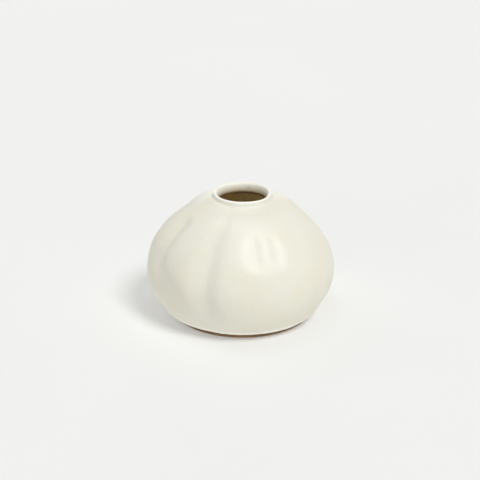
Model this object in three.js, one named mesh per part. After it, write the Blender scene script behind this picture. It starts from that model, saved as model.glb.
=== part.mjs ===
// Squat, softly lobed stoneware bud vase with a short collar and a thin rolled lip.
// Millimetres, +Z up. The origin is on the surface that the foot stands on, under the middle of the body.
// Every surface is swept round the vertical axis from a meridian; the azimuth is counted from -Y (the front) towards +X.
import * as THREE from "three";

// ---- Driving dimensions -------------------------------------------------

const SEGMENTS = 48; // facets round the axis
const GLAZE = 0.3; // glaze coat
const GAP = 0.3; // clearance between neighbouring pieces
const CLAY = 3.5; // wall of the clay body
const UNDER = GLAZE + GAP; // depth of the clay's face below the glazed outside
const LAP = UNDER + CLAY / 2; // middle of the clay wall, where the half-lap at the belt steps
const INSIDE = UNDER + CLAY; // depth of the clay's inner face
const LINER = INSIDE + GAP; // depth of the liner glaze's clay side
const CAVITY = LINER + GLAZE; // depth of the face that holds the water

// Mean meridian of the glazed belly and shoulder: control points [radius, height] of a clamped cubic B-spline.
const BODY = [
  [33.5, -0.89],
  [39.38, 2.35],
  [43.29, 3.51],
  [45.99, 8.41],
  [50.73, 17.28],
  [51.7, 30],
  [46.12, 42.87],
  [35.63, 54.19],
  [25.38, 62.65],
  [16, 63.91],
];
const BODY_START = 0.0485; // share of the curve cut off below, where the wall meets the foot
const BODY_END = 0.97; // share of the curve used before the collar takes over
const COLLAR_LEAD = 2.2; // length over which the shoulder runs straight into the collar's fillet
const THROAT_R = 13.0; // clear radius of the throat
const THROAT_Z = 63.2; // height where the throat opens into the belly
// Collar outside, rolled lip and throat, after the two points that carry the shoulder on.
const COLLAR = [
  [17.5, 64.05],
  [16.5, 64.5],
  [15.95, 65.5],
  [15.75, 66.6],
  [15.65, 67.5],
  [15.4, 68.15],
  [14.85, 68.35],
  [14.2, 68.1],
  [13.7, 67.5],
  [13.38, 66.6],
  [13.2, 65.6],
  [13.08, 64.4],
  [THROAT_R, THROAT_Z],
];

// Pressed valleys between the lobes: azimuth at mid-height, lean (degrees per mm of height), bend (degrees per mm squared),
// depth, half-widths to the left and right in degrees, and the heights where each starts, is full, still is full and ends.
const MID = 28.5;
const VALLEYS = [
  { at: -64.8, lean: -0.044, bend: 0.0029, depth: 1.3, left: 8.1, right: 8, span: [28, 40, 55.2, 60] },
  { at: -55.8, lean: -0.803, bend: -0.0048, depth: 1.65, left: 9.8, right: 12.9, span: [7.7, 20.2, 28, 43.7] },
  { at: -22.5, lean: -0.053, bend: 0.0047, depth: 2.6, left: 9.5, right: 7.6, span: [5.2, 20.7, 41.1, 69.5] },
  { at: 11.1, lean: 0, bend: 0, depth: 0.8, left: 7.2, right: 4.6, span: [39.5, 46, 52.5, 58] },
  { at: 25.4, lean: 0.07, bend: 0, depth: 0.6, left: 4, right: 5.5, span: [40, 46, 51.5, 57] },
  { at: 108.3, lean: 0.107, bend: 0, depth: 1.29, left: 6.8, right: 7.1, span: [6.5, 18.4, 52.5, 62.5] },
  { at: 149, lean: 0.05, bend: 0, depth: 1.7, left: 8, right: 9.5, span: [7, 20, 48, 64] },
  { at: -171, lean: -0.05, bend: 0.002, depth: 2, left: 9, right: 7.5, span: [7, 21, 46, 66] },
  { at: -139, lean: 0.1, bend: 0, depth: 1.4, left: 7, right: 9, span: [9, 22, 50, 62] },
  { at: -98.6, lean: 0.187, bend: 0, depth: 1.45, left: 5.7, right: 3.9, span: [6.5, 18.4, 58, 63.3] },
  { at: -61.7, lean: -0.035, bend: 0, depth: 0.32, left: 3.6, right: 3.2, span: [29, 36, 52, 60.7] },
  { at: -57.6, lean: -0.539, bend: 0, depth: -0.09, left: 3, right: 3, span: [17.7, 26, 34, 38.9] },
];
// Swellings and dents left by the hand: azimuth, height, rise, half-width in degrees, half-height.
const SWELLS = [
  { at: -85.3, height: 47.1, rise: 1.38, wide: 17.3, tall: 10.1 },
  { at: 98.9, height: 64.1, rise: 0.57, wide: 32.9, tall: 9.6 },
  { at: -83.8, height: 67.1, rise: 0.92, wide: 46.6, tall: 6 },
  { at: 70.2, height: 8.1, rise: -1.89, wide: 8.8, tall: 15 },
  { at: -75.3, height: 18.2, rise: 0.89, wide: 18.2, tall: 6 },
  { at: -110, height: 55.5, rise: -0.95, wide: 9, tall: 3.5 },
  { at: -132, height: 61.8, rise: 0.95, wide: 18, tall: 2.4 },
  { at: -62, height: 65, rise: 0.5, wide: 30, tall: 2 },
];
// Where the wall's lower edge was trimmed higher: azimuth, height, depth, half-width in degrees, half-height.
const TRIMS = [
  { at: 53, height: 2.2, depth: 1.15, wide: 11, tall: 2.4 },
  { at: 8, height: 2.2, depth: 0.15, wide: 25, tall: 2.4 },
  { at: -26, height: 2.2, depth: 0.5, wide: 12, tall: 2.4 },
  { at: -46, height: 2.2, depth: 0.25, wide: 9, tall: 2.4 },
  { at: -68, height: 2.2, depth: -0.35, wide: 14, tall: 2.4 },
];
const INNER_RELIEF = 0.75; // how much of the relief still shows on the inner face ...
const INNER_FROM = 4.0; // ... starting from this height, just above the floor ...
const INNER_FULL = 16.0; // ... and in full above this one
const FOOT_FREE = 1.6; // the relief starts from this height ...
const FOOT_FULL = 6.5; // ... and is full above this one
const COLLAR_FROM = 1.1; // on the collar it fades out from this station ...
const COLLAR_FREE = 1.32; // ... to this one

// The hand-made axis wanders a little in X: [height, offset].
const SWAY = [
  [0, 0.8],
  [6, 0.7],
  [28, 0],
  [45, -0.3],
  [55, -0.2],
  [64, 0.8],
  [78, 0.8],
];
// The lip is not quite level: [azimuth, rise].
const LIP = [
  [0, -0.7],
  [50, -0.95],
  [95, -0.1],
  [140, 0.05],
  [180, 0],
  [225, 0],
  [270, -0.25],
  [320, -0.55],
  [360, -0.7],
];
const LIP_FROM = 64.05; // the waviness grows from here ...
const LIP_FULL = 67.15; // ... to here

// Foot ring and floor.
const FOOT_R = 38.2;
const FOOT_BORE = 32.0;
const FOOT_H = 1.35;
const FOOT_EDGE = 0.3; // worn edge of the ring
const FLOOR_UNDER = FOOT_H + GAP; // underside of the base disc and of the lower wall
const FLOOR_R = 34.9; // base disc
const FLOOR_TOP = 4.95; // upper face of the base disc

// Meridian stations: 0 to 1 runs up the belly and shoulder, 1 to 2 over the collar, the lip and down the throat.
const GLAZE_EDGE = 0.006; // where the outside glaze stops above the foot
const INNER_FOOT = 0.035; // where the inner face of the wall turns into the floor
const BELT = 0.51; // half-lap between the lower wall and the shoulder wall
const BELT_LAP = 0.05;
const BELT_GAP = 0.0038; // GAP as a step along the belly
const RIM = 0.953; // half-lap between the shoulder wall and the neck collar
const RIM_LAP = 0.03;
const RIM_GAP = 0.0036; // GAP as a step along the shoulder
const THIN = 1.5; // the wall gets this much thinner towards the collar ...
const THIN_FROM = 0.8; // ... from this station
const THIN_TO = 0.97; // ... to this one
const RIM_MID = UNDER + (CLAY - THIN) / 2; // middle of the thinned wall
const BELLY_ROWS = [GLAZE_EDGE, INNER_FOOT, 0.09, 0.16, 0.24, 0.33, 0.42, BELT, BELT + BELT_LAP, 0.65, 0.74, 0.82, 0.89, RIM, RIM + RIM_LAP, 1.0]; // every lap has a row of its own
const COLLAR_ROWS = [1.1, 1.19, 1.27, 1.34, 1.4, 1.46, 1.52, 1.59, 1.67, 1.77, 1.88, 2.0];

// ---- Surface ------------------------------------------------------------

// Point on a clamped uniform cubic B-spline by de Boor's rule, t from 0 to 1.
function spline(points, t) {
  const n = points.length,
    spans = n - 3;
  const u = Math.min(Math.max(t, 0), 1 - 1e-9) * spans;
  const i = Math.min(Math.floor(u), spans - 1);
  const knot = (k) => Math.min(Math.max(k - 3, 0), spans);
  const d = [0, 1, 2, 3].map((j) => points[i + j].slice());
  for (let r = 1; r < 4; r++)
    for (let j = 3; j >= r; j--) {
      const a = knot(i + j),
        b = knot(i + j + 4 - r),
        f = (u - a) / (b - a);
      for (let c = 0; c < 2; c++) d[j][c] = (1 - f) * d[j - 1][c] + f * d[j][c];
    }
  return d[3];
}

function smooth(a, b, x) {
  const u = Math.min(Math.max((x - a) / (b - a), 0), 1);
  return u * u * (3 - 2 * u);
}

const joinPoint = spline(BODY, BODY_END);
const beforeJoin = spline(BODY, BODY_END - 1e-3);
const run = Math.hypot(joinPoint[0] - beforeJoin[0], joinPoint[1] - beforeJoin[1]);
const leadPoint = [0, 1].map(
  (c) => joinPoint[c] + ((joinPoint[c] - beforeJoin[c]) / run) * COLLAR_LEAD,
);
const COLLAR_CURVE = [joinPoint, leadPoint, ...COLLAR];

function profile(s) {
  return s <= 1 ? spline(BODY, BODY_START + s * (BODY_END - BODY_START)) : spline(COLLAR_CURVE, s - 1);
}

function outward(s) {
  const e = 1e-4;
  const p = profile(Math.max(s - e, 0)),
    q = profile(Math.min(s + e, 2));
  const l = Math.hypot(q[0] - p[0], q[1] - p[1]);
  return [(q[1] - p[1]) / l, -(q[0] - p[0]) / l];
}

// How far the hand-worked surface lies below the mean meridian.
function hollow(azimuth, z) {
  const turn = (off) => off - 360 * Math.round(off / 360);
  let h = 0;
  for (const v of VALLEYS) {
    const [a, b, c, d] = v.span;
    const off = turn(azimuth - (v.at + v.lean * (z - MID) + v.bend * (z - MID) ** 2));
    h += v.depth * smooth(a, b, z) * (1 - smooth(c, d, z)) * Math.exp(-((off / (off < 0 ? v.left : v.right)) ** 2));
  }
  for (const q of SWELLS)
    h -= q.rise * Math.exp(-((turn(azimuth - q.at) / q.wide) ** 2) - ((z - q.height) / q.tall) ** 2);
  h *= smooth(FOOT_FREE, FOOT_FULL, z);
  for (const t of TRIMS)
    h += t.depth * Math.exp(-((turn(azimuth - t.at) / t.wide) ** 2) - ((z - t.height) / t.tall) ** 2);
  return h;
}

function along(table, x) {
  for (let i = 1; i < table.length; i++)
    if (x <= table[i][0]) {
      const [a, ya] = table[i - 1],
        [b, yb] = table[i];
      return ya + (yb - ya) * smooth(a, b, x);
    }
  return table[table.length - 1][1];
}

// A station on a section: at(s, depth) lies below the glazed outside, fixed(r, z) is a plain turned point.
const at = (s, depth) => ({ s, depth });
const fixed = (r, z, swayAt = z) => ({ r, z, swayAt });

function place(point, azimuth) {
  const phi = THREE.MathUtils.degToRad(azimuth);
  let r, z, sway;
  if (point.s === undefined) {
    ({ r, z } = point);
    sway = along(SWAY, point.swayAt);
  } else {
    const [pr, pz] = profile(point.s),
      [nr, nz] = outward(point.s);
    const inner = point.depth > LAP + GAP;
    const depth = point.depth - (inner ? THIN * smooth(THIN_FROM, THIN_TO, point.s) : 0);
    const relief = inner ? INNER_RELIEF * smooth(INNER_FROM, INNER_FULL, pz) : 1;
    const sink = depth + relief * (1 - smooth(COLLAR_FROM, COLLAR_FREE, point.s)) * hollow(azimuth, pz);
    r = pr - nr * sink;
    z = pz - nz * sink + along(LIP, ((azimuth % 360) + 360) % 360) * smooth(LIP_FROM, LIP_FULL, pz);
    sway = along(SWAY, pz);
  }
  return [r * Math.sin(phi) + (r > 0 ? sway : along(SWAY, 0)), -r * Math.cos(phi), z];
}

// Sweeps a closed section round the axis. A section that starts and ends on the axis is closed by a fan at each end.
function swept(section) {
  const positions = [],
    index = [];
  const rows = section.map((point) => {
    const onAxis = point.r === 0;
    const first = positions.length / 3;
    for (let j = 0; j < (onAxis ? 1 : SEGMENTS); j++)
      positions.push(...place(point, (360 * j) / SEGMENTS));
    return { first, onAxis };
  });
  const vertex = (row, j) => (row.onAxis ? row.first : row.first + (j % SEGMENTS));
  const closes = !rows[0].onAxis;
  const falling = section.map((point, i) => section[(i + 1) % section.length].s < point.s);
  for (let i = 0; i < rows.length - (closes ? 0 : 1); i++) {
    const low = rows[i],
      high = rows[(i + 1) % rows.length];
    for (let j = 0; j < SEGMENTS; j++) {
      const a = vertex(low, j),
        b = vertex(low, j + 1),
        c = vertex(high, j + 1),
        d = vertex(high, j);
      // Faces that run up and faces that run back down are split along the same diagonal, so that skins stay parallel.
      if (falling[i] && !low.onAxis && !high.onAxis) index.push(a, b, d, b, c, d);
      else {
        if (!low.onAxis) index.push(a, b, c);
        if (!high.onAxis) index.push(a, c, d);
      }
    }
  }
  const geometry = new THREE.BufferGeometry();
  geometry.setAttribute("position", new THREE.Float32BufferAttribute(positions, 3));
  geometry.setIndex(index);
  geometry.computeVertexNormals();
  return geometry;
}

// Rows of the belly strictly between two stations, at one depth.
const between = (from, to, depth) =>
  BELLY_ROWS.filter((s) => s > from + 0.012 && s < to - 0.012).map((s) => at(s, depth));

// ---- Pieces -------------------------------------------------------------

const ivory = () => new THREE.MeshStandardMaterial({ color: 0xf0ede0, roughness: 0.45, metalness: 0 });
const toasted = (color) => new THREE.MeshStandardMaterial({ color, roughness: 0.85, metalness: 0 });
const honey = () => new THREE.MeshStandardMaterial({ color: 0xe2d1a6, roughness: 0.42, metalness: 0 });

const vase = new THREE.Group();
function add(name, section, material) {
  const mesh = new THREE.Mesh(swept(section), material);
  mesh.name = name;
  vase.add(mesh);
}

// Trimmed ring that the vase stands on.
add(
  "foot_ring",
  [
    fixed(FOOT_BORE + FOOT_EDGE, 0, 0),
    fixed(FOOT_R - FOOT_EDGE, 0, 0),
    fixed(FOOT_R, FOOT_EDGE, 0),
    fixed(FOOT_R, FOOT_H, 0),
    fixed(FOOT_BORE, FOOT_H, 0),
    fixed(FOOT_BORE, FOOT_EDGE, 0),
  ],
  toasted(0x7b5a3a),
);

// Floor of the pot, inside the lower wall.
add(
  "base_disc",
  [fixed(0, FLOOR_UNDER, 0), fixed(FLOOR_R, FLOOR_UNDER, 0), fixed(FLOOR_R, FLOOR_TOP, 0), fixed(0, FLOOR_TOP, 0)],
  toasted(0x80603e),
);

// Lower half of the belly: it stands on the foot ring round the floor, and has the outer half of the lap above.
add(
  "lower_wall",
  [
    at(0, UNDER),
    at(GLAZE_EDGE, UNDER),
    ...between(GLAZE_EDGE, BELT + BELT_LAP, UNDER),
    at(BELT + BELT_LAP, UNDER),
    at(BELT + BELT_LAP, LAP - GAP / 2),
    at(BELT, LAP - GAP / 2),
    at(BELT, INSIDE),
    ...between(INNER_FOOT, BELT, INSIDE).reverse(),
    at(INNER_FOOT, INSIDE),
    fixed(FLOOR_R + GAP, FLOOR_TOP + 0.1, 0),
    fixed(FLOOR_R + GAP, FLOOR_UNDER, 0),
    fixed(FOOT_R - GAP, FLOOR_UNDER, 0),
  ],
  toasted(0x86653f),
);

// Upper half of the belly and the shoulder.
add(
  "shoulder_wall",
  [
    at(BELT + BELT_LAP + BELT_GAP, UNDER),
    ...between(BELT + BELT_LAP, RIM, UNDER),
    at(RIM, UNDER),
    at(RIM, RIM_MID - GAP / 2),
    at(RIM + RIM_LAP, RIM_MID - GAP / 2),
    at(RIM + RIM_LAP, INSIDE),
    ...between(BELT, RIM + RIM_LAP, INSIDE).reverse(),
    at(BELT + BELT_GAP, INSIDE),
    at(BELT + BELT_GAP, LAP + GAP / 2),
    at(BELT + BELT_LAP + BELT_GAP, LAP + GAP / 2),
  ],
  toasted(0x8a6842),
);

// Collar with the core of the rolled lip; its skirt laps over the shoulder.
add(
  "neck_collar",
  [
    at(RIM + RIM_GAP, UNDER),
    at(RIM + RIM_LAP, UNDER),
    at(1, UNDER),
    ...COLLAR_ROWS.map((s) => at(s, UNDER)),
    fixed(13.95, THROAT_Z - 0.35, 64),
    fixed(14.7, THROAT_Z - 0.68, 64),
    fixed(17.6, THROAT_Z - 1.85, 64),
    at(RIM + RIM_LAP + RIM_GAP, INSIDE),
    at(RIM + RIM_LAP + RIM_GAP, RIM_MID - GAP * 1.5),
    at(RIM + RIM_GAP, RIM_MID - GAP * 1.5),
  ],
  toasted(0x8e6c46),
);

// Ivory glaze from just above the foot, over the lip and down the throat.
const glazeRows = [...BELLY_ROWS, ...COLLAR_ROWS];
add(
  "outer_glaze",
  [...glazeRows.map((s) => at(s, 0)), ...[...glazeRows].reverse().map((s) => at(s, GLAZE))],
  ivory(),
);

// Pale honey liner that makes the inside watertight.
const cavityRows = BELLY_ROWS.filter((s) => s > GLAZE_EDGE && s < 1);
add(
  "liner_glaze",
  [
    fixed(0, FLOOR_TOP + GAP, 0),
    fixed(FLOOR_R - 0.6, FLOOR_TOP + GAP, 0),
    fixed(FLOOR_R + 0.6, FLOOR_TOP + GAP + 0.2, 0),
    ...cavityRows.map((s) => at(s, LINER)),
    fixed(17.5, THROAT_Z - 2.15, 64),
    fixed(14.6, THROAT_Z - 0.98, 64),
    fixed(13.75, THROAT_Z - 0.6, 64),
    fixed(13.4, THROAT_Z - GAP, 64),
    fixed(13.1, THROAT_Z - GAP, 64),
    fixed(13.15, THROAT_Z - 0.55, 64),
    fixed(13.5, THROAT_Z - 0.88, 64),
    fixed(14.5, THROAT_Z - 1.3, 64),
    fixed(17.4, THROAT_Z - 2.47, 64),
    ...[...cavityRows].reverse().map((s) => at(s, CAVITY)),
    fixed(FLOOR_R + 0.3, FLOOR_TOP + GAP + GLAZE + 0.2, 0),
    fixed(FLOOR_R - 0.8, FLOOR_TOP + GAP + GLAZE, 0),
    fixed(0, FLOOR_TOP + GAP + GLAZE, 0),
  ],
  honey(),
);

export default vase;
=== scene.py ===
import math

import bpy
import numpy as np
from mathutils import Matrix, Vector


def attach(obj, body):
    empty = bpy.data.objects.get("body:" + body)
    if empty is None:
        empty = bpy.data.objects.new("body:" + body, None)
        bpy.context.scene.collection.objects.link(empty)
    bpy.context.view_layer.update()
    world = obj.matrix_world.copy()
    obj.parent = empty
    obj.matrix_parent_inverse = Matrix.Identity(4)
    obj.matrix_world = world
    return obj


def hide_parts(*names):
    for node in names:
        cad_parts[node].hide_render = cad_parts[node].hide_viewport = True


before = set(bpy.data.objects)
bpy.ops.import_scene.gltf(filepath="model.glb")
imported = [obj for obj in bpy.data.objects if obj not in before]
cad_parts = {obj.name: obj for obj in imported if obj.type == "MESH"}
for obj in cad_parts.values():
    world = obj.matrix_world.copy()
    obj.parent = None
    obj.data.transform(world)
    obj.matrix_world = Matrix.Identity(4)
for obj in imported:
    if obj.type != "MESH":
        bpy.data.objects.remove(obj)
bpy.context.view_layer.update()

# ---------------------------------------------------------------------------
# Shape of the vase. Millimetres here, metres in the meshes. The azimuth is
# counted from -Y, the front, towards +X.
# ---------------------------------------------------------------------------

GLAZE = 0.3
GAP = 0.3
CLAY = 3.5
UNDER = GLAZE + GAP
LAP = UNDER + CLAY / 2
INSIDE = UNDER + CLAY
LINER = INSIDE + GAP
CAVITY = LINER + GLAZE

BODY = np.array([
    [33.5, -0.89], [39.38, 2.35], [43.29, 3.51], [45.99, 8.41], [50.73, 17.28],
    [51.7, 30.0], [46.12, 42.87], [35.63, 54.19], [25.38, 62.65], [16.0, 63.91],
])
BODY_START, BODY_END = 0.0485, 0.97
COLLAR_LEAD = 2.2
THROAT_R, THROAT_Z = 13.0, 63.2
COLLAR = [
    [17.5, 64.05], [16.5, 64.5], [15.95, 65.5], [15.75, 66.6], [15.65, 67.5],
    [15.4, 68.15], [14.85, 68.35], [14.2, 68.1], [13.7, 67.5], [13.38, 66.6],
    [13.2, 65.6], [13.08, 64.4], [THROAT_R, THROAT_Z],
]

# Pressed valleys: azimuth at mid-height, lean (degrees per mm), bend (degrees per mm squared), depth,
# half-widths to the left and right (degrees), heights where it starts, is full, still is full and ends.
MID = 28.5
VALLEYS = [
    (-64.8, -0.044, 0.0029, 1.3, 8.1, 8.0, (28.0, 40.0, 55.2, 60.0)),
    (-55.8, -0.803, -0.0048, 1.65, 9.8, 12.9, (7.7, 20.2, 28.0, 43.7)),
    (-22.5, -0.053, 0.0047, 2.6, 9.5, 7.6, (5.2, 20.7, 41.1, 69.5)),
    (11.1, 0.0, 0.0, 0.8, 7.2, 4.6, (39.5, 46.0, 52.5, 58.0)),
    (25.4, 0.07, 0.0, 0.6, 4.0, 5.5, (40.0, 46.0, 51.5, 57.0)),
    (108.3, 0.107, 0.0, 1.29, 6.8, 7.1, (6.5, 18.4, 52.5, 62.5)),
    (149.0, 0.05, 0.0, 1.7, 8.0, 9.5, (7.0, 20.0, 48.0, 64.0)),
    (-171.0, -0.05, 0.002, 2.0, 9.0, 7.5, (7.0, 21.0, 46.0, 66.0)),
    (-139.0, 0.1, 0.0, 1.4, 7.0, 9.0, (9.0, 22.0, 50.0, 62.0)),
    (-98.6, 0.187, 0.0, 1.45, 5.7, 3.9, (6.5, 18.4, 58.0, 63.3)),
    (-61.7, -0.035, 0.0, 0.32, 3.6, 3.2, (29.0, 36.0, 52.0, 60.7)),
    (-57.6, -0.539, 0.0, -0.09, 3.0, 3.0, (17.7, 26.0, 34.0, 38.9)),
]
# Swellings and dents left by the hand: azimuth, height, rise, half-width (degrees), half-height.
SWELLS = [
    (-85.3, 47.1, 1.38, 17.3, 10.1),
    (98.9, 64.1, 0.57, 32.9, 9.6),
    (-83.8, 67.1, 0.92, 46.6, 6.0),
    (70.2, 8.1, -1.89, 8.8, 15.0),
    (-75.3, 18.2, 0.89, 18.2, 6.0),
    (-110.0, 55.5, -0.95, 9.0, 3.5),
    (-132.0, 61.8, 0.95, 18.0, 2.4),
    (-62.0, 65.0, 0.5, 30.0, 2.0),
]
# Where the wall's lower edge was trimmed higher: azimuth, height, depth, half-width (degrees), half-height.
TRIMS = [
    (53.0, 2.2, 1.15, 11.0, 2.4),
    (8.0, 2.2, 0.15, 25.0, 2.4),
    (-26.0, 2.2, 0.5, 12.0, 2.4),
    (-46.0, 2.2, 0.25, 9.0, 2.4),
    (-68.0, 2.2, -0.35, 14.0, 2.4),
]
INNER_RELIEF = 0.75
INNER_FROM, INNER_FULL = 4.0, 16.0
COLLAR_FROM, COLLAR_FREE = 1.1, 1.32
FOOT_FREE, FOOT_FULL = 1.6, 6.5
SWAY = [(0, 0.8), (6, 0.7), (28, 0.0), (45, -0.3), (55, -0.2), (64, 0.8), (78, 0.8)]
LIP = [(0, -0.7), (50, -0.95), (95, -0.1), (140, 0.05), (180, 0.0), (225, 0.0), (270, -0.25), (320, -0.55), (360, -0.7)]
LIP_FROM, LIP_FULL = 64.05, 67.15

FOOT_R, FOOT_BORE, FOOT_H, FOOT_EDGE = 38.2, 32.0, 1.35, 0.3
FLOOR_UNDER = FOOT_H + GAP
FLOOR_R, FLOOR_TOP = 34.9, 4.95
GLAZE_EDGE, INNER_FOOT = 0.006, 0.035
BELT, BELT_LAP, BELT_GAP = 0.51, 0.05, 0.0038
RIM, RIM_LAP, RIM_GAP = 0.953, 0.03, 0.0036
THIN, THIN_FROM, THIN_TO = 1.5, 0.8, 0.97
RIM_MID = UNDER + (CLAY - THIN) / 2


def spline(points, t):
    """Clamped uniform cubic B-spline, t an array from 0 to 1."""
    points = np.asarray(points, float)
    spans = len(points) - 3
    u = np.clip(np.asarray(t, float), 0, 1 - 1e-9) * spans
    i = np.minimum(u.astype(int), spans - 1)
    knots = np.clip(np.arange(len(points) + 4) - 3, 0, spans).astype(float)
    d = [points[i + j].copy() for j in range(4)]
    for r in range(1, 4):
        for j in range(3, r - 1, -1):
            a, b = knots[i + j], knots[i + j + 4 - r]
            f = ((u - a) / (b - a))[:, None]
            d[j] = (1 - f) * d[j - 1] + f * d[j]
    return d[3]


def smooth(a, b, x):
    u = np.clip((np.asarray(x, float) - a) / (b - a), 0, 1)
    return u * u * (3 - 2 * u)


_join = spline(BODY, np.array([BODY_END]))[0]
_before = spline(BODY, np.array([BODY_END - 1e-3]))[0]
_lead = _join + (_join - _before) / np.linalg.norm(_join - _before) * COLLAR_LEAD
COLLAR_CURVE = np.array([_join, _lead] + COLLAR)


def profile(s):
    s = np.asarray(s, float)
    body = spline(BODY, BODY_START + np.clip(s, 0, 1) * (BODY_END - BODY_START))
    collar = spline(COLLAR_CURVE, np.clip(s - 1, 0, 1))
    return np.where((s <= 1)[:, None], body, collar)


def outward(s):
    e = 1e-4
    d = profile(np.minimum(s + e, 2)) - profile(np.maximum(s - e, 0))
    d /= np.linalg.norm(d, axis=1, keepdims=True)
    return np.stack([d[:, 1], -d[:, 0]], 1)


def hollow(azimuth, z):
    """How far the hand-worked surface lies below the mean meridian."""
    h = np.zeros(np.broadcast(azimuth, z).shape)
    for at, lean, bend, depth, left, right, (a, b, c, d) in VALLEYS:
        off = azimuth - (at + lean * (z - MID) + bend * (z - MID) ** 2)
        off = off - 360 * np.round(off / 360)
        wide = np.where(off < 0, left, right)
        h = h + depth * smooth(a, b, z) * (1 - smooth(c, d, z)) * np.exp(-((off / wide) ** 2))
    for at, height, rise, wide, tall in SWELLS:
        off = azimuth - at
        off = off - 360 * np.round(off / 360)
        h = h - rise * np.exp(-((off / wide) ** 2) - ((z - height) / tall) ** 2)
    h = h * smooth(FOOT_FREE, FOOT_FULL, z)
    for at, height, depth, wide, tall in TRIMS:
        off = azimuth - at
        off = off - 360 * np.round(off / 360)
        h = h + depth * np.exp(-((off / wide) ** 2) - ((z - height) / tall) ** 2)
    return h


def along(table, x):
    x = np.asarray(x, float)
    out = np.full(x.shape, float(table[-1][1]))
    for (a, ya), (b, yb) in reversed(list(zip(table[:-1], table[1:]))):
        out = np.where(x <= b, ya + (yb - ya) * smooth(a, b, x), out)
    return out


def at(s, depth):
    return ("at", float(s), float(depth))


def fixed(r, z, sway_at=None):
    return ("fixed", float(r), float(z), float(z if sway_at is None else sway_at))


def run(s0, s1, depth, n):
    """n + 1 stations from s0 to s1 at one depth."""
    return [at(s, depth) for s in np.linspace(s0, s1, n + 1)]


def place(section, azimuth):
    """Points of a section at every azimuth, in millimetres: array of (rows, azimuths, 3)."""
    phi = np.radians(azimuth)[None, :]
    rows = []
    lip = along(LIP, azimuth % 360)
    for p in section:
        if p[0] == "fixed":
            _, r, z, sway_at = p
            sway = along(SWAY, np.array([sway_at if r > 0 else 0.0]))[0]
            rr = np.full(azimuth.shape, r)
            zz = np.full(azimuth.shape, z)
        else:
            _, s, depth = p
            (pr, pz), (nr, nz) = profile(np.array([s]))[0], outward(np.array([s]))[0]
            inner = depth > LAP + GAP
            relief = INNER_RELIEF * smooth(INNER_FROM, INNER_FULL, pz) if inner else 1.0
            depth = depth - (THIN * smooth(THIN_FROM, THIN_TO, s) if inner else 0.0)
            relief = relief * (1 - smooth(COLLAR_FROM, COLLAR_FREE, s))
            sink = depth + relief * hollow(azimuth, np.full(azimuth.shape, pz))
            rr = pr - nr * sink
            zz = pz - nz * sink + lip * smooth(LIP_FROM, LIP_FULL, pz)
            sway = along(SWAY, np.array([pz]))[0]
        rows.append(np.stack([rr * np.sin(phi[0]) + sway, -rr * np.cos(phi[0]), zz], -1))
    return np.array(rows)


def swept(name, section, segments, material, node):
    """One closed piece: the section swept round the axis, smooth shaded, riding on the root body."""
    azimuth = np.arange(segments) * 360.0 / segments
    pts = place(section, azimuth) / 1000.0
    on_axis = [p[0] == "fixed" and p[1] == 0 for p in section]
    verts, first = [], []
    for row, axis in zip(pts, on_axis):
        first.append(len(verts))
        verts.extend(row[:1] if axis else row)
    faces = []
    closes = not on_axis[0]
    for i in range(len(section) - (0 if closes else 1)):
        k = (i + 1) % len(section)
        for j in range(segments):
            n = (j + 1) % segments
            a = first[i] + (0 if on_axis[i] else j)
            b = first[i] + (0 if on_axis[i] else n)
            c = first[k] + (0 if on_axis[k] else n)
            d = first[k] + (0 if on_axis[k] else j)
            if on_axis[i]:
                faces.append((a, c, d))
            elif on_axis[k]:
                faces.append((a, b, c))
            else:
                faces.append((a, b, c, d))
    mesh = bpy.data.meshes.new(name)
    mesh.from_pydata([tuple(map(float, v)) for v in verts], [], faces)
    mesh.shade_smooth()
    mesh.materials.append(material)
    mesh.update()
    piece = bpy.data.objects.new(name, mesh)
    bpy.context.scene.collection.objects.link(piece)
    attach(piece, "root")
    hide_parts(node)
    return piece


# ---------------------------------------------------------------------------
# Materials
# ---------------------------------------------------------------------------


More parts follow.
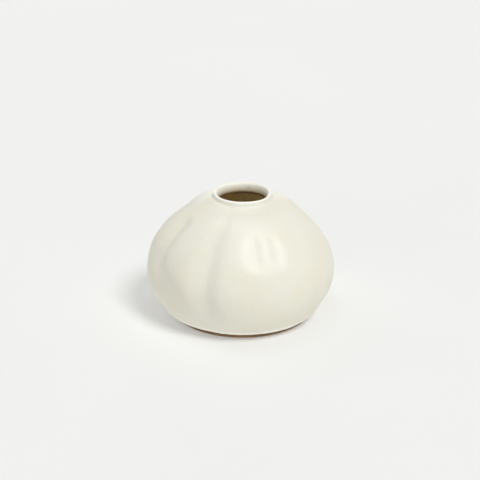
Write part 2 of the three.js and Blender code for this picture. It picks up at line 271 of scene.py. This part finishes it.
class Nodes:
    """Small helper that adds and links shader nodes."""

    def __init__(self, name):
        self.material = bpy.data.materials.new(name)
        self.material.use_nodes = True
        self.tree = self.material.node_tree
        self.tree.nodes.clear()
        self.out = self.tree.nodes.new("ShaderNodeOutputMaterial")
        self.bsdf = self.tree.nodes.new("ShaderNodeBsdfPrincipled")
        self.tree.links.new(self.bsdf.outputs["BSDF"], self.out.inputs["Surface"])
        self.coord = self.tree.nodes.new("ShaderNodeTexCoord").outputs["Object"]

    def link(self, a, b):
        self.tree.links.new(a, b)

    def put(self, socket, value):
        if hasattr(value, "is_output"):
            self.link(value, socket)
        else:
            socket.default_value = value

    def noise(self, scale, detail=2.0, rough=0.5, vector=None):
        n = self.tree.nodes.new("ShaderNodeTexNoise")
        self.link(self.coord if vector is None else vector, n.inputs["Vector"])
        n.inputs["Scale"].default_value = scale
        n.inputs["Detail"].default_value = detail
        n.inputs["Roughness"].default_value = rough
        return n.outputs["Fac"]

    def ramp(self, value, lo, hi, to_lo=0.0, to_hi=1.0, soft=True):
        n = self.tree.nodes.new("ShaderNodeMapRange")
        n.interpolation_type = "SMOOTHSTEP" if soft else "LINEAR"
        self.link(value, n.inputs["Value"])
        for key, v in (("From Min", lo), ("From Max", hi), ("To Min", to_lo), ("To Max", to_hi)):
            n.inputs[key].default_value = v
        return n.outputs["Result"]

    def math(self, op, a, b=0.0):
        n = self.tree.nodes.new("ShaderNodeMath")
        n.operation = op
        self.put(n.inputs[0], a)
        self.put(n.inputs[1], b)
        return n.outputs[0]

    def mix(self, fac, a, b, blend="MIX"):
        n = self.tree.nodes.new("ShaderNodeMix")
        n.data_type = "RGBA"
        n.blend_type = blend
        self.put(n.inputs[0], fac)
        self.put(n.inputs[6], a if hasattr(a, "is_output") else (*a, 1.0))
        self.put(n.inputs[7], b if hasattr(b, "is_output") else (*b, 1.0))
        return n.outputs[2]

    def split(self):
        n = self.tree.nodes.new("ShaderNodeSeparateXYZ")
        self.link(self.coord, n.inputs[0])
        return n.outputs

    def distance(self, point):
        n = self.tree.nodes.new("ShaderNodeVectorMath")
        n.operation = "DISTANCE"
        self.link(self.coord, n.inputs[0])
        n.inputs[1].default_value = point
        return n.outputs["Value"]

    def bump(self, height, strength, distance, normal=None):
        n = self.tree.nodes.new("ShaderNodeBump")
        n.inputs["Strength"].default_value = strength
        n.inputs["Distance"].default_value = distance
        self.link(height, n.inputs["Height"])
        if normal is not None:
            self.link(normal, n.inputs["Normal"])
        return n.outputs["Normal"]


def on_surface(azimuth, height):
    """A point of the glazed outside at a height in mm, in metres."""
    s = np.linspace(0, 1, 400)
    here = float(np.interp(height, profile(s)[:, 1], s))
    p = place([at(here, 0.0)], np.array([float(azimuth)]))[0, 0] / 1000.0
    return tuple(float(c) for c in p)


IVORY = (0.824, 0.808, 0.705)
IVORY_WARM = (0.813, 0.788, 0.664)
# Thicker, whiter glaze at the lower edge, and also painted light against the shade near the foot.
THICK_GLAZE_AND_PAINTED_LIGHT = (0.97, 0.96, 0.88)
# Thick glaze on the lip, and also a painted highlight along its front.
LIP_GLAZE_AND_PAINTED_HIGHLIGHT = (0.95, 0.94, 0.87)
# Painted light: the paler glaze colour inside the throat, which offsets the shade there.
THROAT_PAINTED_LIGHT = (0.97, 0.95, 0.84)
THROAT_TAN = (0.66, 0.56, 0.37)
IRON = (0.36, 0.25, 0.13)
CLAY_DARK = (0.20, 0.112, 0.054)
CLAY_MID = (0.33, 0.20, 0.105)
HONEY = (0.9, 0.812, 0.592)
HONEY_DARK = (0.88, 0.782, 0.552)
THROAT_BROWN = (0.22, 0.145, 0.068)
# Iron specks in the glaze: azimuth, height and radius in mm, strength.
SPECKS = [
    (-57.8, 39.7, 0.34, 0.6), (52.0, 35.0, 0.3, 0.25), (118.0, 44.0, 0.4, 0.4),
    (163.0, 27.0, 0.35, 0.4), (-152.0, 51.0, 0.4, 0.45), (-110.0, 22.0, 0.3, 0.4), (84.0, 15.0, 0.3, 0.3),
]
# Pale ochre blushes in the glaze, given in the same way.
OCHRE = (0.82, 0.71, 0.36)
BLUSHES = [(-24.0, 59.0, 0.5, 0.75), (35.5, 26.2, 4.5, 0.1), (-128.0, 38.0, 0.5, 0.6), (142.0, 57.0, 0.45, 0.6), (172.0, 20.0, 4.0, 0.1)]


def ivory_glaze():
    m = Nodes("ivory_glaze")
    broad = m.noise(45.0, 3.0, 0.55)
    cloud = m.ramp(broad, 0.35, 0.68)
    colour = m.mix(cloud, IVORY, IVORY_WARM)
    fine = m.ramp(m.noise(850.0, 2.0, 0.6), 0.3, 0.7, 0.985, 1.012)
    colour = m.mix(1.0, colour, fine, "MULTIPLY")
    x, y, z = m.split()
    # Inside the throat the glaze colour is lifted as painted light against the shade of the hollow. The coat thins over
    # the brown clay at the bottom of the throat.
    radius = m.math("SQRT", m.math("ADD", m.math("POWER", m.math("SUBTRACT", x, 0.0008), 2.0), m.math("POWER", y, 2.0)))
    inside = m.ramp(radius, 0.0140, 0.0146, 1.0, 0.0)
    # Painted light: a paler glaze inside the throat offsets the shade of the hollow.
    colour = m.mix(inside, colour, THROAT_PAINTED_LIGHT)
    colour = m.mix(m.math("MULTIPLY", inside, m.ramp(z, 0.0634, 0.0665, 1.0, 0.0)), colour, THROAT_TAN)
    colour = m.mix(m.math("MULTIPLY", inside, m.ramp(z, 0.0628, 0.0644, 1.0, 0.0)), colour, THROAT_BROWN)
    # A tan spot darkens the back of the throat wall, right of centre.
    colour = m.mix(m.ramp(m.distance((0.0046, 0.0128, 0.0652)), 0.0004, 0.0026, 0.4, 0.0), colour, THROAT_TAN)
    # It is thicker and whiter along its lower edge, which rises a little to both sides, and on the lip. The lower band
    # is also painted light that lifts the shaded foot edge into a bright line; the lip band, strongest at the front, is
    # also a painted highlight.
    edge = m.math("SUBTRACT", z, m.math("MULTIPLY", m.math("ABSOLUTE", x), 0.03))
    # Thicker glaze, and painted light that brightens the shaded band above the foot.
    colour = m.mix(m.ramp(edge, 0.0048, 0.0066, 1.0, 0.0), colour, THICK_GLAZE_AND_PAINTED_LIGHT)
    rim = m.math("SUBTRACT", z, m.math("MULTIPLY", y, 0.06))
    # Thick glaze on the lip and a painted highlight; the band reaches lowest at the front.
    colour = m.mix(m.ramp(rim, 0.0668, 0.0682), colour, LIP_GLAZE_AND_PAINTED_HIGHLIGHT)
    for marks, tint in ((BLUSHES, OCHRE), (SPECKS, IRON)):
        for azimuth, height, radius, strength in marks:
            spot = m.ramp(m.distance(on_surface(azimuth, height)), radius * 0.0005, radius * 0.0013, strength, 0.0)
            colour = m.mix(spot, colour, tint)
    m.put(m.bsdf.inputs["Base Color"], colour)
    rough = m.ramp(m.noise(120.0, 2.0, 0.5), 0.3, 0.7, 0.40, 0.50)
    m.put(m.bsdf.inputs["Roughness"], m.math("MULTIPLY", rough, m.ramp(edge, 0.0048, 0.0066, 0.6, 1.0)))
    m.bsdf.inputs["IOR"].default_value = 1.5
    skin = m.bump(m.noise(260.0, 2.0, 0.5), 0.25, 0.00003)
    skin = m.bump(m.noise(1800.0, 1.0, 0.5), 0.12, 0.00001, skin)
    m.link(skin, m.bsdf.inputs["Normal"])
    return m.material


def stoneware():
    m = Nodes("stoneware")
    tone = m.ramp(m.noise(90.0, 4.0, 0.6), 0.3, 0.7)
    colour = m.mix(tone, CLAY_DARK, CLAY_MID)
    grog = m.ramp(m.noise(1500.0, 2.0, 0.7), 0.58, 0.72)
    colour = m.mix(grog, colour, (0.30, 0.20, 0.11))
    m.put(m.bsdf.inputs["Base Color"], colour)
    m.put(m.bsdf.inputs["Roughness"], m.ramp(tone, 0.0, 1.0, 0.78, 0.92))
    grain = m.bump(m.noise(1200.0, 3.0, 0.65), 0.5, 0.00008)
    m.link(grain, m.bsdf.inputs["Normal"])
    return m.material


def honey_liner():
    m = Nodes("honey_liner")
    tone = m.ramp(m.noise(70.0, 3.0, 0.6), 0.3, 0.7)
    colour = m.mix(tone, HONEY, HONEY_DARK)
    # Thin over the clay where the belly closes round the throat.
    colour = m.mix(m.ramp(m.split()[2], 0.0606, 0.0622, 0.0, 1.0), colour, THROAT_BROWN)
    m.put(m.bsdf.inputs["Base Color"], colour)
    m.put(m.bsdf.inputs["Roughness"], m.ramp(m.noise(160.0, 2.0), 0.3, 0.7, 0.38, 0.5))
    m.link(m.bump(m.noise(300.0, 2.0), 0.3, 0.00005), m.bsdf.inputs["Normal"])
    return m.material


ivory, clay, honey = ivory_glaze(), stoneware(), honey_liner()

# ---------------------------------------------------------------------------
# Pieces
# ---------------------------------------------------------------------------

FINE, PLAIN = 360, 192

outer = (
    [at(GLAZE_EDGE - 0.0013, 0.1)]
    + run(GLAZE_EDGE, 1.0, 0.0, 110)
    + run(1.0, 2.0, 0.0, 84)[1:]
    + run(2.0, 1.0, GLAZE, 48)
    + run(1.0, GLAZE_EDGE, GLAZE, 40)[1:]
    + [at(GLAZE_EDGE - 0.0013, 0.2)]
)
swept("glaze_coat", outer, FINE, ivory, "outer_glaze")

T = THROAT_Z
liner_up = [fixed(0, FLOOR_TOP + GAP, 0), fixed(FLOOR_R - 0.6, FLOOR_TOP + GAP, 0), fixed(FLOOR_R + 0.6, FLOOR_TOP + GAP + 0.2, 0)]
liner_up += run(INNER_FOOT, 0.983, LINER, 36)
liner_up += [fixed(17.5, T - 2.15, 64.0), fixed(14.6, T - 0.98, 64.0), fixed(13.8, T - 0.5, 64.0), fixed(13.32, T - 0.02, 64.0)]
liner_down = [fixed(13.02, T - 0.02, 64.0), fixed(13.12, T - 0.4, 64.0), fixed(13.5, T - 0.83, 64.0), fixed(14.5, T - 1.3, 64.0), fixed(17.4, T - 2.47, 64.0)]
liner_down += run(0.983, INNER_FOOT, CAVITY, 60)
liner_down += [fixed(FLOOR_R + 0.3, FLOOR_TOP + GAP + GLAZE + 0.2, 0), fixed(FLOOR_R - 0.8, FLOOR_TOP + GAP + GLAZE, 0), fixed(0, FLOOR_TOP + GAP + GLAZE, 0)]
swept("liner_coat", liner_up + liner_down, PLAIN, honey, "liner_glaze")

foot = [
    fixed(FOOT_BORE + FOOT_EDGE, 0, 0), fixed(FOOT_R - FOOT_EDGE, 0, 0), fixed(FOOT_R - 0.1, 0.1, 0), fixed(FOOT_R, FOOT_EDGE, 0),
    fixed(FOOT_R, FOOT_H + GAP, 0), fixed(FOOT_BORE, FOOT_H + GAP, 0), fixed(FOOT_BORE, FOOT_EDGE, 0), fixed(FOOT_BORE + 0.1, 0.1, 0),
]
swept("foot", foot, PLAIN, clay, "foot_ring")

disc = [fixed(0, FLOOR_UNDER, 0), fixed(FLOOR_R, FLOOR_UNDER, 0), fixed(FLOOR_R, FLOOR_TOP, 0), fixed(0, FLOOR_TOP, 0)]
swept("floor_disc", disc, PLAIN, clay, "base_disc")

# The clay lies right under the glaze here, so that no slit shows along the edge of the coat.
SKIN = GLAZE + 0.02
lower = (
    run(0.0, BELT + BELT_LAP, SKIN, 40)
    + [at(BELT + BELT_LAP, LAP - GAP / 2), at(BELT, LAP - GAP / 2)]
    + run(BELT, INNER_FOOT, INSIDE, 24)
    + [fixed(FLOOR_R + GAP, FLOOR_TOP + 0.1, 0), fixed(FLOOR_R + GAP, FLOOR_UNDER, 0), fixed(FOOT_R, FLOOR_UNDER, 0)]
)
swept("belly_clay", lower, PLAIN, clay, "lower_wall")

shoulder = (
    run(BELT + BELT_LAP + BELT_GAP, RIM, SKIN, 28)
    + [at(RIM, RIM_MID - GAP / 2), at(RIM + RIM_LAP, RIM_MID - GAP / 2)]
    + run(RIM + RIM_LAP, BELT + BELT_GAP, INSIDE, 30)
    + [at(BELT + BELT_GAP, LAP + GAP / 2), at(BELT + BELT_LAP + BELT_GAP, LAP + GAP / 2)]
)
swept("shoulder_clay", shoulder, PLAIN, clay, "shoulder_wall")

neck = (
    run(RIM + RIM_GAP, 1.0, UNDER, 4)
    + run(1.0, 2.0, UNDER, 40)[1:]
    + [fixed(13.95, T - 0.35, 64.0), fixed(14.7, T - 0.68, 64.0), fixed(17.6, T - 1.85, 64.0)]
    + [at(RIM + RIM_LAP + RIM_GAP, INSIDE), at(RIM + RIM_LAP + RIM_GAP, RIM_MID - GAP * 1.5), at(RIM + RIM_GAP, RIM_MID - GAP * 1.5)]
)
swept("collar_clay", neck, PLAIN, clay, "neck_collar")

# ---------------------------------------------------------------------------
# Floor, light and camera
# ---------------------------------------------------------------------------


def pale_floor():
    m = Nodes("pale_floor")
    tone = m.ramp(m.noise(3.0, 2.0), 0.3, 0.7)
    m.put(m.bsdf.inputs["Base Color"], m.mix(tone, (0.645, 0.645, 0.635), (0.655, 0.655, 0.645)))
    # A lit table: the same faint glow all over.
    m.bsdf.inputs["Emission Color"].default_value = (0.226, 0.226, 0.222, 1.0)
    m.bsdf.inputs["Emission Strength"].default_value = 0.985
    m.bsdf.inputs["Roughness"].default_value = 0.85
    m.bsdf.inputs["Specular IOR Level"].default_value = 0.2
    return m.material


ground = bpy.data.meshes.new("ground")
ground.from_pydata([(-4, -4, -2e-5), (4, -4, -2e-5), (4, 4, -2e-5), (-4, 4, -2e-5)], [], [(0, 1, 2, 3)])
ground.materials.append(pale_floor())
floor = bpy.data.objects.new("ground", ground)
bpy.context.scene.collection.objects.link(floor)

scene = bpy.context.scene
scene.view_settings.view_transform = "Standard"
# Light reaches the bottom of the belly only after many bounces off the liner.
scene.cycles.diffuse_bounces = 10
world = bpy.data.worlds.new("studio")
world.use_nodes = True
tree = world.node_tree
sky = next(n for n in tree.nodes if n.type == "BACKGROUND")
sky.inputs["Color"].default_value = (1.0, 1.0, 0.995, 1.0)
# The sky is palest at the horizon, so the backdrop past the floor stays pale.
way = tree.nodes.new("ShaderNodeTexCoord")
parts = tree.nodes.new("ShaderNodeSeparateXYZ")
fade = tree.nodes.new("ShaderNodeMapRange")
fade.interpolation_type = "SMOOTHSTEP"
fade.inputs["From Min"].default_value = 0.15
fade.inputs["From Max"].default_value = 0.45
fade.inputs["To Min"].default_value = 0.62
fade.inputs["To Max"].default_value = 0.105
tree.links.new(way.outputs["Generated"], parts.inputs[0])
tree.links.new(parts.outputs["Z"], fade.inputs["Value"])
tree.links.new(fade.outputs["Result"], sky.inputs["Strength"])
scene.world = world


def window(name, azimuth, elevation, width, irradiance, colour=(1.0, 1.0, 1.0)):
    """A far, soft source: its direction, its angular width in degrees and its strength."""
    light = bpy.data.lights.new(name, "SUN")
    light.angle = math.radians(width)
    light.energy = irradiance
    light.color = colour
    a, e = math.radians(azimuth), math.radians(elevation)
    away = Vector((math.sin(a) * math.cos(e), -math.cos(a) * math.cos(e), math.sin(e)))
    lamp = bpy.data.objects.new(name, light)
    lamp.location = away * 2.0
    lamp.rotation_euler = away.to_track_quat("Z", "Y").to_euler()
    scene.collection.objects.link(lamp)
    return lamp


window("key", 42.5, 53.5, 21.0, 1.75)
window("top", 0.0, 89.0, 40.0, 0.60)
window("top_left", -120.0, 70.0, 35.0, 0.146)
window("back_left", -120.0, 45.0, 40.0, 0.31)
window("back_right", 120.0, 45.0, 40.0, 0.06)
window("back_high_left", -140.0, 32.0, 40.0, 0.15)
window("back_high_right", 140.0, 32.0, 40.0, 0.15)
window("back", 180.0, 10.0, 30.0, 0.3)
window("front_left", -30.0, 10.0, 40.0, 0.372)

EYE_ELEVATION = math.radians(23.5)
EYE_DISTANCE = 0.6215
TARGET = Vector((0.0, 0.0, 0.0268))
back = Vector((0.0, -math.cos(EYE_ELEVATION), math.sin(EYE_ELEVATION)))
cam_data = bpy.data.cameras.new("camera")
cam_data.lens = 85.0
cam_data.sensor_fit = "HORIZONTAL"
cam_data.sensor_width = 36.0
cam_data.clip_start = 0.01
camera = bpy.data.objects.new("camera", cam_data)
# The vase sits a little below and right of the picture's middle.
pitch = math.atan((262.2 - 240.0) / (85.0 / 36.0 * 480.0))
yaw = math.atan((240.82 - 240.0) / (85.0 / 36.0 * 480.0))
turn = back.to_track_quat("Z", "Y").to_matrix().to_4x4()
turn = turn @ Matrix.Rotation(pitch, 4, "X") @ Matrix.Rotation(yaw, 4, "Y")
camera.matrix_world = Matrix.Translation(TARGET + back * EYE_DISTANCE) @ turn
scene.collection.objects.link(camera)
scene.camera = camera
